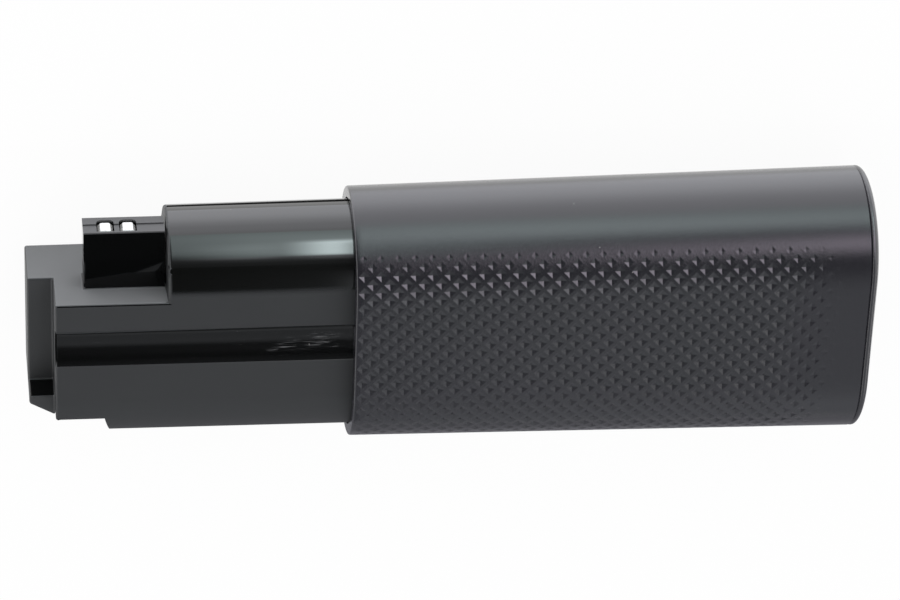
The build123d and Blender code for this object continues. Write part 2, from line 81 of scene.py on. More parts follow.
# %% [markdown]
# ## Camera
#
# A long lens from about 84 cm keeps the pack's long edges almost parallel.  The camera's direction
# is written as a tilt from straight above, a turn round the vertical and a small roll, which is
# easier to read and to change than nine matrix numbers.

# %% Camera
CAMERA_TARGET = Vector((0.4, 1.8, 16.2)) * MM
CAMERA_DISTANCE = 844.5 * MM
CAMERA_TILT = math.radians(31.47)
CAMERA_TURN = math.radians(-13.54)
CAMERA_ROLL = math.radians(2.43)
CAMERA_LENS = 171.26

backward = Vector((
    math.sin(CAMERA_TILT) * math.sin(CAMERA_TURN),
    math.sin(CAMERA_TILT) * math.cos(CAMERA_TURN),
    math.cos(CAMERA_TILT),
))
level_right = Vector((0, 1, 0)).cross(backward).normalized()
right = Matrix.Rotation(CAMERA_ROLL, 3, backward) @ level_right
upward = backward.cross(right)
camera_data = bpy.data.cameras.new("camera")
camera_data.lens = CAMERA_LENS
camera = bpy.data.objects.new("camera", camera_data)
camera.matrix_world = Matrix((right, upward, backward)).transposed().to_4x4()
camera.location = CAMERA_TARGET + backward * CAMERA_DISTANCE
bpy.context.scene.collection.objects.link(camera)
bpy.context.scene.camera = camera
bpy.context.scene.view_settings.view_transform = "Standard"
print("camera at", [round(v, 4) for v in camera.location])

# %% [markdown]
# ## Shader arithmetic
#
# A node tree is a formula, so it reads best as one.  `Signal` wraps an output socket and turns
# `+ - * /` into Math nodes.  `Finish` owns a material, and its one `node` method makes any other
# node: the type, then the settings, then the values or links of the sockets.

# %% Signal and Finish
class Signal:
    """The output of a shader node, with arithmetic."""

    def __init__(self, finish, socket):
        self.finish = finish
        self.socket = socket

    def math(self, operation, first, second):
        return self.finish.node("ShaderNodeMath", {"operation": operation}, {0: first, 1: second})

    def __add__(self, other):
        return self.math("ADD", self, other)

    def __radd__(self, other):
        return self.math("ADD", other, self)

    def __sub__(self, other):
        return self.math("SUBTRACT", self, other)

    def __rsub__(self, other):
        return self.math("SUBTRACT", other, self)

    def __mul__(self, other):
        return self.math("MULTIPLY", self, other)

    def __rmul__(self, other):
        return self.math("MULTIPLY", other, self)

    def __truediv__(self, other):
        return self.math("DIVIDE", self, other)

    def __rtruediv__(self, other):
        return self.math("DIVIDE", other, self)

    def __gt__(self, other):
        return self.math("GREATER_THAN", self, other)

    def __lt__(self, other):
        return self.math("LESS_THAN", self, other)


class Finish:
    """A material under construction: its node tree and its Principled shader."""

    def __init__(self, name):
        self.material = bpy.data.materials.new(name)
        self.material.use_nodes = True
        self.tree = self.material.node_tree
        self.shader = self.tree.nodes["Principled BSDF"]

    def node(self, kind, settings=None, sockets=None, output=0):
        """Add a node, apply its settings, fill or link its sockets, and return one output."""
        made = self.tree.nodes.new(kind)
        for name, value in (settings or {}).items():
            if name == "stops":
                self.set_stops(made.color_ramp, value)
            else:
                setattr(made, name, value)
        for name, value in (sockets or {}).items():
            self.feed(made.inputs[name], value)
        return Signal(self, made.outputs[output])

    def set_stops(self, ramp, stops):
        while len(ramp.elements) < len(stops):
            ramp.elements.new(1.0)
        for element, (place, level) in zip(ramp.elements, stops):
            element.position = place
            element.color = (level, level, level, 1)

    def feed(self, socket, value):
        if isinstance(value, Signal):
            self.tree.links.new(value.socket, socket)
        elif isinstance(value, tuple) and len(value) == 3 and socket.type == "RGBA":
            socket.default_value = (*value, 1)
        else:
            socket.default_value = value

    def set(self, **sockets):
        """Fill or link the Principled shader's sockets; _ in a name stands for a space."""
        for name, value in sockets.items():
            self.feed(self.shader.inputs[name.replace("_", " ")], value)
        return self

    def surface(self, amount, shader):
        """Mix another shader over the Principled one."""
        own = Signal(self, self.shader.outputs[0])
        blend = self.node("ShaderNodeMixShader", {}, {0: amount, 1: own, 2: shader})
        self.feed(self.tree.nodes["Material Output"].inputs["Surface"], blend)

    # the few patterns that every finish below is mixed from

    def place(self):
        """The surface point in metres, in the pack's own frame."""
        return self.node("ShaderNodeTexCoord", output="Object")

    def axes(self):
        """The same point as three numbers."""
        parts = self.node("ShaderNodeSeparateXYZ", {}, {0: self.place()}).socket.node.outputs
        return [Signal(self, parts[axis]) for axis in "XYZ"]

    def facing(self, axis):
        """How far the surface faces along an axis, from -1 to 1."""
        normal = self.node("ShaderNodeTexCoord", output="Normal")
        parts = self.node("ShaderNodeSeparateXYZ", {}, {0: normal}).socket.node.outputs
        return Signal(self, parts[axis])

    def stretched(self, x, y, z):
        """The surface point with each axis scaled, to draw a pattern out along one axis."""
        scaling = {"operation": "MULTIPLY"}
        return self.node("ShaderNodeVectorMath", scaling, {0: self.place(), 1: (x, y, z)})

    def noise(self, size, detail=2.0, roughness=0.5, where=None, distortion=0.0):
        """Smooth noise from 0 to 1 whose patches are about `size` metres across."""
        return self.node(
            "ShaderNodeTexNoise",
            {"noise_dimensions": "3D"},
            {
                "Vector": where or self.place(),
                "Scale": 1 / size,
                "Detail": detail,
                "Roughness": roughness,
                "Distortion": distortion,
            },
        )

    def ramp(self, signal, low, high, start=0.0, end=1.0):
        """Smoothly map low..high of a signal to start..end, clamped outside."""
        span = {"From Min": low, "From Max": high, "To Min": start, "To Max": end}
        kind = {"interpolation_type": "SMOOTHSTEP"}
        return self.node("ShaderNodeMapRange", kind, {"Value": signal, **span})

    def stepped(self, signal, stops):
        """A signal from 0 to 1 through a list of (place, level) stops."""
        return self.node("ShaderNodeValToRGB", {"stops": stops}, {0: signal})

    def mix(self, amount, first, second):
        """A colour between two colours."""
        sockets = {0: amount, 6: first, 7: second}
        return self.node("ShaderNodeMix", {"data_type": "RGBA"}, sockets, output=2)

    def glowing(self, colour, brightness):
        """A colour times a brightness that may be above 1; a Math node would turn it grey."""
        sockets = {0: colour, "Scale": brightness}
        return self.node("ShaderNodeVectorMath", {"operation": "SCALE"}, sockets)

    def specks(self, spacing, share, size):
        """A 0/1 mask of small round specks: one cell in `share` holds one."""
        sockets = {"Vector": self.place(), "Scale": 1 / spacing}
        cells = self.node("ShaderNodeTexVoronoi", {}, sockets)
        colour = Signal(self, cells.socket.node.outputs["Color"])
        chance = self.node("ShaderNodeSeparateColor", {}, {0: colour})
        return (cells < size / spacing) * (chance < share)

    def bump(self, height, distance, strength=1.0, normal=None):
        sockets = {"Height": height, "Distance": distance, "Strength": strength}
        if normal is not None:
            sockets["Normal"] = normal
        return self.node("ShaderNodeBump", {}, sockets)


# %% [markdown]
# ## The studio table
#
# The pack lies on a white table in a white room, which lights it evenly from all sides.  But a
# black moulding shows little of its own colour: what draws its shape is what it mirrors.  So a set
# of reflection cards stands round the pack, as in a product studio: a half tunnel over it, black
# overhead with a lit edge on the contacts' side, and two more lying on the table.  Only
# reflections meet the cards, so they shape the gloss and leave the even light as it is.
#
# The cards' brightness and tint were adjusted until this one view looked right.  They are no record
# of a real studio, and seen from another side they are only plausible.

# %% Floor and room
def staged(name, points, faces, material):
    """A piece of the studio, which isn't part of the pack."""
    mesh = bpy.data.meshes.new(name)
    mesh.from_pydata(points, [], faces)
    mesh.materials.append(material)
    piece = bpy.data.objects.new(name, mesh)
    bpy.context.scene.collection.objects.link(piece)
    return piece


def seen_directly(finish):
    """1 for rays from the camera, from a mirror and through glass; 0 for the light itself."""
    path = finish.node("ShaderNodeLightPath")
    outputs = path.socket.node.outputs
    others = [Signal(finish, outputs[name]) for name in ("Is Glossy Ray", "Is Transmission Ray")]
    return finish.node("ShaderNodeMath", {"operation": "MINIMUM"}, {0: sum(others, path), 1: 1.0})


FLOOR_SIZE = 8.0
FLOOR_WHITE = (0.92, 0.92, 0.92)
FLOOR_GLOW = 0.94
ROOM_LIGHT = 1.0
floor_finish = Finish("white_table")
floor_finish.set(Base_Color=FLOOR_WHITE, Roughness=0.9)
glow = floor_finish.node("ShaderNodeEmission", {}, {"Color": (1, 1, 1), "Strength": 1.0})
floor_finish.surface(seen_directly(floor_finish) * FLOOR_GLOW, glow)
half_floor = FLOOR_SIZE / 2
corner_signs = ((-1, -1), (1, -1), (1, 1), (-1, 1))
floor_corners = [(x * half_floor, y * half_floor, 0) for x, y in corner_signs]
staged("floor", floor_corners, [(0, 1, 2, 3)], floor_finish.material)

world = bpy.data.worlds.new("room")
world.use_nodes = True
background = world.node_tree.nodes["Background"]
background.inputs["Color"].default_value = (1, 1, 1, 1)
background.inputs["Strength"].default_value = ROOM_LIGHT
bpy.context.scene.world = world
print("floor", FLOOR_SIZE, "m square, room light", ROOM_LIGHT)

# %% Cards that only reflections meet
CARD_RADIUS = 1.1
CARD_ENDS = (-1.0, 1.2)
CARD_ANGLES = (-89.0, 89.0)
CARD_STEPS = 40
BRIGHTEST = 10.0
# brightness over the height angle in degrees, 0 straight up and 90 level on the contacts' side, at
# places along X in metres; it blends from each place to the next
DARK_END = (
    (-90, 0.30), (-60, 0.42), (-35, 0.40), (-15, 0.22), (-5, 0.26), (8, 0.08), (60, 0.06),
    (75, 0.50), (90, 1.00),
)
BRIGHT_END = (
    (-90, 0.30), (-60, 0.46), (-35, 0.40), (-12, 0.32), (2, 0.45), (12, 0.95), (22, 1.50),
    (36, 1.80), (45, 2.50), (75, 2.50), (84, 1.50), (90, 1.10),
)
TIP_ROW = (
    (-90, 0.25), (-70, 0.14), (-38, 0.16), (-30, 0.01), (20, 0.00), (33, 0.05), (40, 0.10),
    (45, 0.35), (50, 0.70), (57, 0.90), (69, 1.05), (81, 1.15), (90, 1.03),
)
WEDGE_ROW = (
    (-90, 0.25), (-70, 0.20), (-38, 0.16), (-30, 0.04), (20, 0.02), (33, 0.07), (41.5, 0.25),
    (44, 1.60), (46, 2.05), (65, 2.05), (68, 1.80), (73, 1.80), (81, 1.50), (90, 1.20),
)
CAP_ROW = (
    (-90, 0.30), (-60, 0.42), (-30, 0.28), (-16, 0.16), (-2, 0.02), (16, 0.03), (25, 0.75),
    (29, 1.60), (38, 1.70), (44, 0.90), (49, 0.30), (55, 0.40), (61, 0.90), (69, 1.40),
    (78, 1.25), (90, 0.92),
)
TUNNEL = (
    (-1.00, DARK_END),
    (-0.17, DARK_END),
    (-0.08, (
        (-90, 0.25), (-70, 0.14), (-38, 0.20), (-30, 0.20), (-22, 0.01), (20, 0.00), (33, 0.05),
        (40, 0.10), (45, 0.35), (50, 0.70), (57, 0.90), (69, 1.05), (81, 1.15), (90, 1.03),
    )),
    (-0.045, TIP_ROW),
    (-0.006, TIP_ROW),
    (0.028, (
        (-90, 0.25), (-70, 0.16), (-38, 0.16), (-30, 0.03), (20, 0.01), (33, 0.08), (38, 0.25),
        (41, 1.00), (50, 1.70), (57, 2.00), (65, 1.70), (69, 1.50), (81, 1.45), (90, 1.20),
    )),
    (0.046, (
        (-90, 0.25), (-70, 0.18), (-38, 0.16), (-30, 0.04), (20, 0.02), (33, 0.08), (41, 0.25),
        (44, 1.20), (48, 1.70), (64, 1.70), (69, 1.60), (81, 1.50), (90, 1.20),
    )),
    (0.062, WEDGE_ROW),
    (0.070, WEDGE_ROW),
    (0.074, (
        (-90, 0.34), (-60, 0.42), (-30, 0.42), (-2, 0.32), (8, 0.18), (16, 0.03), (20, 0.01),
        (52, 0.01), (61, 0.12), (66, 1.20), (72, 1.80), (78, 1.60), (84, 1.35), (90, 1.15),
    )),
    (0.19, (
        (-90, 0.36), (-60, 0.54), (-30, 0.54), (-6, 0.42), (4, 0.25), (12, 0.08), (22, 0.20),
        (30, 0.50), (42, 0.60), (50, 0.50), (55, 0.60), (62, 1.50), (72, 1.90), (80, 1.45),
        (90, 1.15),
    )),
    (0.285, (
        (-90, 0.30), (-60, 0.40), (-30, 0.26), (-16, 0.14), (-2, 0.00), (16, 0.00), (25, 0.75),
        (29, 1.60), (38, 1.70), (44, 0.80), (49, 0.12), (55, 0.20), (61, 0.90), (69, 1.40),
        (78, 1.25), (90, 0.92),
    )),
    (0.36, CAP_ROW),
    (0.44, CAP_ROW),
    (0.55, BRIGHT_END),
)
# brightness of the two cards on the table, over the distance from the pack's middle line
TABLE_REACH = (0.030, 1.0)
TABLE_BRIGHT = (
    (0.030, 1.50), (0.040, 1.80), (0.048, 1.75), (0.062, 1.45), (0.09, 1.20), (0.3, 1.05),
    (1.0, 1.0),
)
TABLE_DIM = 0.30
BRIGHT_TABLE_TINT = (0.98, 0.99, 1.04)
DIM_TABLE_TINT = (0.98, 0.98, 1.06)
TABLE_RISE = 0.5 * MM


def reflection_card(name, points, faces, look_at):
    """A glowing card; look_at gets its finish and its x, y and z, and returns the colour."""
    finish = Finish(name)
    glow = finish.node("ShaderNodeEmission", {}, {"Color": look_at(finish, *finish.axes())})
    finish.surface(1.0, glow)
    card = staged(name, points, faces, finish.material)
    card.visible_camera = card.visible_diffuse = False
    card.visible_shadow = card.visible_transmission = False


def along(finish, value, stops):
    """Brightness at a value, through (value, brightness) stops."""
    low, high = stops[0][0], stops[-1][0]
    levels = [((place - low) / (high - low), level / BRIGHTEST) for place, level in stops]
    return finish.stepped((value - low) / (high - low), levels) * BRIGHTEST


# the lit edge leans to green and the strip above it, towards the cap, to violet; both tints were
# adjusted for this view, and no known lamp or cloth is behind them
BLACK_TINT = (0.96, 1.0, 1.05)
VIOLET_TINT = (1.06, 0.96, 1.11)
GREEN_TINT = (0.86, 1.0, 1.01)
GREEN_ANGLES = (40, 44)
VIOLET_PLACES = (0.08, 0.18)
VIOLET_ANGLES = ((16, 26), (47, 56))


def tunnel_look(finish, x, y, z):
    angle = finish.node("ShaderNodeMath", {"operation": "ARCTAN2"}, {0: y, 1: z}) * math.degrees(1)
    total = along(finish, angle, TUNNEL[0][1])
    for (before, _), (here, stops) in zip(TUNNEL, TUNNEL[1:]):
        sockets = {"Value": x, "From Min": before, "From Max": here}
        share = finish.node("ShaderNodeMapRange", {"interpolation_type": "LINEAR"}, sockets)
        total = total + share * (along(finish, angle, stops) - total)
    starts, ends = VIOLET_ANGLES
    towards_cap = finish.ramp(x, *VIOLET_PLACES)
    violet = towards_cap * finish.ramp(angle, *starts) * (1 - finish.ramp(angle, *ends))
    tint = finish.mix(finish.ramp(angle, *GREEN_ANGLES), BLACK_TINT, GREEN_TINT)
    return finish.glowing(finish.mix(violet, tint, VIOLET_TINT), total)


def bright_table_look(finish, x, y, z):
    return finish.glowing(BRIGHT_TABLE_TINT, along(finish, y, TABLE_BRIGHT))


def dim_table_look(finish, x, y, z):
    return tuple(level * TABLE_DIM for level in DIM_TABLE_TINT)


# %% Place the cards
card_points = []
for k in range(CARD_STEPS + 1):
    angle = math.radians(CARD_ANGLES[0] + (CARD_ANGLES[1] - CARD_ANGLES[0]) * k / CARD_STEPS)
    y, z = CARD_RADIUS * math.sin(angle), CARD_RADIUS * math.cos(angle)
    card_points += [(x, y, z) for x in CARD_ENDS]
card_quads = [(2 * k, 2 * k + 1, 2 * k + 3, 2 * k + 2) for k in range(CARD_STEPS)]
reflection_card("tunnel_card", card_points, card_quads, tunnel_look)


def table_card(name, side, look_at):
    """A card lying on the table; side is 1 for the contacts' side and -1 for the other."""
    near, far = (side * reach for reach in TABLE_REACH)
    start, end = CARD_ENDS
    outline = ((start, near), (end, near), (end, far), (start, far))
    corners = [(x, y, TABLE_RISE) for x, y in outline]
    reflection_card(name, corners, [(0, 1, 2, 3)], look_at)


table_card("bright_table_card", 1, bright_table_look)
table_card("dim_table_card", -1, dim_table_look)
print("cards at", CARD_RADIUS, "m, with", len(TUNNEL), "rows of brightness")

# %% [markdown]
# ## Black mouldings
#
# Housing, sleeve and cap are black plastic in two finishes.  Most of it is a fine satin, such as
# spark-eroded steel leaves, which scatters light and so reads as a dark grey; the side that takes
# the rating print, the guide groove and the contact block are polished, and read as black with
# sharp reflections.  The two differ in colour depth and roughness, and get a little drift from the
# flow of the plastic, faint rub marks, and a few specks of dust.
#
# Several settings only adjust brightness for this light, and say nothing about the real pack.
# Black plastic has an IOR near 1.5.  Here it is 1.9, which mirrors more than twice as much, because
# the room is kept at a plain white.  The well (1.36), the black line (1.1) and the coat on the
# shoulder (2.8) were set the same way, and so was the contacts' low share of metal.  The lighter
# greys of the ledge, the tongue and the contact block's top are painted light, and the black line
# is a painted dark line.  Under other light, an IOR of 1.5, SATIN_HOUSING for the greys, no coat
# and full metal are the safer choice.

# %% Polished black
DEEP_BLACK = (0.0026, 0.0029, 0.0030)
DUST_GREY = (0.16, 0.16, 0.15)
DUST_ROUGHNESS = 0.4
DRIFT_SIZE = 18 * MM
DRIFT_ROUGHNESS = 0.03
BLACK_IOR = 1.9
CARRIER_IOR = 1.5
WELL_IOR = 1.36
LINE_IOR = 1.1
COAT_IOR = 2.8


def polished(name, reflectivity=BLACK_IOR):
    """A polished skin with no colour yet; reflectivity is its IOR."""
    finish = Finish(name)
    skin = finish.bump(finish.noise(6 * MM, detail=1), 0.006 * MM, 0.25)
    return finish.set(IOR=reflectivity, Normal=skin)


def polished_well():
    finish = polished("polished_black_well", WELL_IOR)
    drift = finish.noise(DRIFT_SIZE, detail=3)
    dust = finish.specks(2.4 * MM, 0.05, 0.14 * MM)
    return finish.set(
        Base_Color=finish.mix(dust, DEEP_BLACK, DUST_GREY),
        Roughness=0.06 + drift * DRIFT_ROUGHNESS + dust * DUST_ROUGHNESS,
    )


# %% Print side, which runs out into the satin
SATIN_HOUSING = (0.0150, 0.0172, 0.0196)
HOUSING_GLOSS = 0.52
PRINT_BLACK = (0.0050, 0.0054, 0.0052)
PRINT_GLOSS = 0.05
PRINT_EDGE = (11.0 * MM, 13.1 * MM)
# the coat only brightens one highlight beside the sleeve's rim: how far from the rim it fades, and
# between which slopes towards +Y it rises and falls; nothing shows a deeper polish there
COAT_FROM_RIM = (2.5 * MM, 15.0 * MM)
COAT_RISE = (0.53, 0.58)
COAT_FALL = (0.73, 0.79)


def print_side():
    """Polished black whose lower edge fades into the satin, with a coat on part of the shoulder."""
    finish = polished("polished_black_print_side")
    x, y, _ = finish.axes()
    polish = finish.ramp(y, *PRINT_EDGE)
    drift = finish.noise(DRIFT_SIZE, detail=3)
    dust = finish.specks(2.4 * MM, 0.05, 0.14 * MM)
    plastic = finish.mix(polish, SATIN_HOUSING, PRINT_BLACK)
    near, far = COAT_FROM_RIM
    near_rim = finish.ramp(x, rim_x - far, rim_x - near)
    slope = finish.facing("Y")
    coat = near_rim * finish.ramp(slope, *COAT_RISE) * (1 - finish.ramp(slope, *COAT_FALL))
    roughness = HOUSING_GLOSS - polish * (HOUSING_GLOSS - PRINT_GLOSS)
    return finish.set(
        Coat_Weight=coat, Coat_Roughness=0.06, Coat_IOR=COAT_IOR,
        Base_Color=finish.mix(dust, plastic, DUST_GREY),
        Roughness=roughness + drift * DRIFT_ROUGHNESS + dust * DUST_ROUGHNESS,
    )


# %% Groove with its rub marks
RUB_AREA = ((-40.0 * MM, -24.5 * MM), (-2.3 * MM, 2.8 * MM))
RUB_GREY = (0.11, 0.11, 0.115)


def rubbed_groove():
    """Fine pale scratches along the groove near the rim, likely from a rail that slides in it."""
    finish = polished("polished_black_groove")
    x, y, _ = finish.axes()
    (start, end), (low, high) = RUB_AREA
    area = finish.ramp(x, start, start + 5 * MM) * (1 - finish.ramp(x, end, end + 6 * MM))
    area = area * finish.ramp(y, low, low + 1.5 * MM) * (1 - finish.ramp(y, high - 1 * MM, high))
    strokes = finish.noise(0.16 * MM, detail=3, where=finish.stretched(0.05, 1, 1))
    patches = finish.noise(2.2 * MM, detail=2, where=finish.stretched(0.4, 1, 1))
    rubbed = finish.ramp(strokes, 0.52, 0.70) * finish.ramp(patches, 0.40, 0.62) * area
    few = finish.ramp(strokes, 0.66, 0.74) * finish.ramp(patches, 0.52, 0.70) * 0.5
    marks = rubbed + few
    dust = finish.specks(1.9 * MM, 0.06, 0.13 * MM)
    plastic = finish.mix(marks, DEEP_BLACK, RUB_GREY)
    return finish.set(
        Base_Color=finish.mix(dust, plastic, DUST_GREY),
        Roughness=0.13 + marks * 0.3 + dust * DUST_ROUGHNESS,
    )


# %% Contact block: polished front, matt top with painted light
# depths below the carrier's highest point at which the top's painted light is gone, and is still
# full
TOP_EDGE = (0.32 * MM, 0.24 * MM)
TOP_PAINTED_LIGHT = (0.076, 0.077, 0.081)


def contact_block():
    """Black in front and matt on top, where the top's grey is painted light."""
    finish = polished("polished_contact_block_painted_top", CARRIER_IOR)
    _, y, _ = finish.axes()
    below, above = (carrier_high.y - depth for depth in TOP_EDGE)
    sunk = 1 - finish.ramp(y, below, above)
    top = 1 - sunk * (1 - finish.ramp(finish.facing("Y"), 0.5, 0.9))
    grain = finish.noise(0.2 * MM, detail=3)
    dust = finish.specks(1.7 * MM, 0.05, 0.12 * MM)
    # painted light: the top is mixed towards a lighter grey
    plastic = finish.mix(top, DEEP_BLACK, TOP_PAINTED_LIGHT)
    return finish.set(
        Base_Color=finish.mix(dust, plastic, DUST_GREY),
        Roughness=0.07 + top * (0.25 + grain * 0.06),
    )


# %% Satin black
SATIN_SHADES = (0.88, 1.08)


def satin_black(name, gloss, colour, grain_height, reflectivity=BLACK_IOR):
    """Finely grained black; gloss is its roughness, and grain_height the depth of the grain."""
    finish = Finish(name)
    grain = finish.noise(0.28 * MM, detail=3, roughness=0.6)
    drift = finish.noise(14 * MM, detail=2)
    dust = finish.specks(2.1 * MM, 0.03, 0.11 * MM)
    deeper, paler = (tuple(level * shade for level in colour) for shade in SATIN_SHADES)
    plastic = finish.mix(drift, deeper, paler)
    return finish.set(
        Base_Color=finish.mix(dust, plastic, DUST_GREY),
        Roughness=gloss - 0.03 + drift * DRIFT_ROUGHNESS + grain * 0.04,
        IOR=reflectivity, Normal=finish.bump(grain, grain_height, 0.5),
    )


# %% Contact metal
def contact_plating():
    finish = Finish("bright_contact_plating")
    brushing = finish.noise(0.12 * MM, detail=2, where=finish.stretched(1, 0.1, 0.1))
    touched = finish.ramp(finish.noise(1.2 * MM, detail=3), 0.5, 0.7)
    colour = finish.mix(touched, (0.86, 0.86, 0.85), (0.74, 0.74, 0.73))
    # real plating is all metal; the lower share only lightens its bevels for this light
    finish.set(
        Base_Color=colour, Metallic=0.55 - touched * 0.15,
        Roughness=0.20 + brushing * 0.12 + touched * 0.1,
        Normal=finish.bump(brushing, 0.004 * MM, 0.4),
    )
    return finish.material


# %% [markdown]
# ## Finishes inside the pack
#
# Nothing inside shows while the pack is closed, but each piece still gets the finish that such
# pieces usually have, so that it can be opened up or reused: shrink film on the cells, brushed
# nickel strips, fish paper, foam, and a green circuit board with copper traces under its mask.

# %% Inner finishes
def cell_steel():
    finish = Finish("nickel_plated_steel")
    grain = finish.noise(0.4 * MM, detail=2, where=finish.stretched(0.05, 1, 1))
    colour = finish.mix(grain, (0.56, 0.56, 0.54), (0.66, 0.66, 0.64))
    finish.set(Base_Color=colour, Metallic=1.0, Roughness=0.22 + grain * 0.15)
    return finish.material


def shrink_film():
    finish = Finish("shrink_film")
    wrinkle = finish.noise(3 * MM, detail=2, where=finish.stretched(0.2, 1, 1))
    colour = finish.mix(wrinkle, (0.03, 0.18, 0.42), (0.05, 0.25, 0.52))
    skin = finish.bump(wrinkle, 0.03 * MM, 0.5)
    finish.set(Base_Color=colour, Roughness=0.28 + wrinkle * 0.1, Normal=skin)
    return finish.material


def holder_plastic():
    finish = Finish("holder_moulding")
    grain = finish.noise(0.3 * MM, detail=3)
    colour = finish.mix(grain, (0.04, 0.04, 0.042), (0.06, 0.06, 0.062))
    skin = finish.bump(grain, 0.01 * MM, 0.5)
    finish.set(Base_Color=colour, Roughness=0.5 + grain * 0.12, Normal=skin)
    return finish.material


def nickel_strip():
    finish = Finish("nickel_strip")
    brushing = finish.noise(0.15 * MM, detail=3, where=finish.stretched(1, 0.06, 1))
    colour = finish.mix(brushing, (0.58, 0.56, 0.50), (0.72, 0.70, 0.64))
    finish.set(Base_Color=colour, Metallic=1.0, Roughness=0.25 + brushing * 0.15)
    return finish.material


def fish_paper():
    finish = Finish("insulating_paper")
    lengthwise = finish.stretched(1, 0.3, 1)
    fibres = finish.noise(0.5 * MM, detail=4, where=lengthwise, distortion=1.5)
    colour = finish.mix(fibres, (0.52, 0.60, 0.44), (0.66, 0.72, 0.58))
    finish.set(Base_Color=colour, Roughness=0.8, Normal=finish.bump(fibres, 0.03 * MM, 0.5))
    return finish.material


def foam():
    finish = Finish("closed_cell_foam")
    sockets = {"Vector": finish.place(), "Scale": 1 / (0.5 * MM)}
    cells = finish.node("ShaderNodeTexVoronoi", {}, sockets)
    colour = finish.mix(cells, (0.07, 0.07, 0.075), (0.14, 0.14, 0.145))
    finish.set(Base_Color=colour, Roughness=0.9, Normal=finish.bump(cells, 0.1 * MM, 0.8))
    return finish.material


def circuit_board_mask():
    finish = Finish("solder_mask")
    sockets = {"Vector": finish.place(), "Scale": 1 / (1.6 * MM)}
    blocks = finish.node("ShaderNodeTexVoronoi", {"distance": "MANHATTAN"}, sockets)
    traces = finish.ramp(blocks, 0.42, 0.46)
    colour = finish.mix(traces, (0.012, 0.13, 0.05), (0.03, 0.22, 0.09))
    finish.set(Base_Color=colour, Roughness=0.32, Normal=finish.bump(traces, 0.03 * MM, 0.6))
    return finish.material


def chip_package():
    finish = Finish("chip_package")
    grain = finish.noise(0.12 * MM, detail=3)
    colour = finish.mix(grain, (0.02, 0.02, 0.022), (0.045, 0.045, 0.047))
    finish.set(Base_Color=colour, Roughness=0.55, Normal=finish.bump(grain, 0.006 * MM, 0.6))
    return finish.material


def lead_insulation():
    finish = Finish("lead_insulation")
    drift = finish.noise(4 * MM, detail=2)
    colour = finish.mix(drift, (0.42, 0.035, 0.025), (0.50, 0.05, 0.035))
    skin = finish.bump(drift, 0.02 * MM, 0.3)
    finish.set(Base_Color=colour, Roughness=0.38 + drift * 0.1, Normal=skin)
    return finish.material


# %% Dress the carried-over solids
SATIN_GRIP = (0.0150, 0.0142, 0.0196)
GRIP_GLOSS = 0.17
FINE_GRAIN = 0.010 * MM
GRIP_GRAIN = 0.055 * MM
FINISHES = {
    "housing": satin_black(
        "satin_black_housing", HOUSING_GLOSS, SATIN_HOUSING, FINE_GRAIN,
    ).material,
    "carrier": contact_block().material,
    "contact": contact_plating(),
    "grip": satin_black("satin_black_grip", GRIP_GLOSS, SATIN_GRIP, GRIP_GRAIN).material,
    "cap": satin_black("satin_black_cap", GRIP_GLOSS, SATIN_GRIP, GRIP_GRAIN).material,
    "cell_steel": cell_steel(),
    "cell_wrap": shrink_film(),
    "holder": holder_plastic(),
    "nickel": nickel_strip(),
    "paper": fish_paper(),
    "foam": foam(),
    "board": circuit_board_mask(),
    "chip": chip_package(),
    "lead": lead_insulation(),
}
for part in frame["record"]["subparts"]:
    solid = frame["nodes"][part["node"]]
    solid.data.materials.clear()
    solid.data.materials.append(FINISHES[part["material_slot"]])
print(len(frame["nodes"]), "solids dressed in", len(FINISHES), "finishes")

# %% [markdown]
# ## Rings along the pack
#
# Sleeve and cap both have a stadium section: two half rounds joined by flats.  `outline_point`
# walks that outline by arc length, starting at the middle of the grooved face and going towards
# the contacts' side.  A list of rings (place, width, depth) joined by quads then makes any shell.

# %% Stadium outline
def outline_length(width, depth):
    return 2 * (width - depth) + math.pi * depth


def outline_point(x, width, depth, share):
    """The point at a share (0..1) of the way round the section, and its outward direction."""
    flat = (width - depth) / 2
    radius = depth / 2
    walked = (share % 1.0) * outline_length(width, depth)
    half_turn = math.pi * radius
    stretches = (flat, half_turn, 2 * flat, half_turn, flat)
    for number, stretch in enumerate(stretches):
        if walked <= stretch or number == 4:
            break
        walked -= stretch
    if number in (1, 3):
        side = 1 if number == 1 else -1
        angle = walked / radius
        outward = Vector((0, side * math.sin(angle), side * math.cos(angle)))
        centre = Vector((x, side * flat, axis_z))
        return centre + outward * radius, outward
    start_y, way = {0: (0, 1), 2: (flat, -1), 4: (-flat, 1)}[number]
    outward = Vector((0, 0, -1 if number == 2 else 1))
    return Vector((x, start_y + way * walked, axis_z)) + outward * radius, outward


# %% Shells from rings
def add_ring(mesh, x, width, depth, count, shift=0.0):
    shares = [(k + shift) / count for k in range(count)]
    return [mesh.verts.new(outline_point(x, width, depth, share)[0]) for share in shares]


def join_rings(mesh, first, second):
    """Quads between two rings, facing outwards when the rings are given from cap towards tip."""
    count = len(first)
    for k in range(count):
        after = (k + 1) % count
        mesh.faces.new((first[k], first[after], second[after], second[k]))


def finished_piece(name, mesh, finish, crease=30):
    """Turn a bmesh into an object, smooth but for marked edges and those over `crease` degrees."""
    data = bpy.data.meshes.new(name)
    mesh.to_mesh(data)
    mesh.free()
    data.polygons.foreach_set("use_smooth", [True] * len(data.polygons))
    if crease is not None:
        data.set_sharp_from_angle(angle=math.radians(crease))
    piece = bpy.data.objects.new(name, data)
    data.materials.append(finish)
    bpy.context.scene.collection.objects.link(piece)
    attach(piece, "root")
    print(f"{name}: {len(data.polygons)} faces")
    return piece
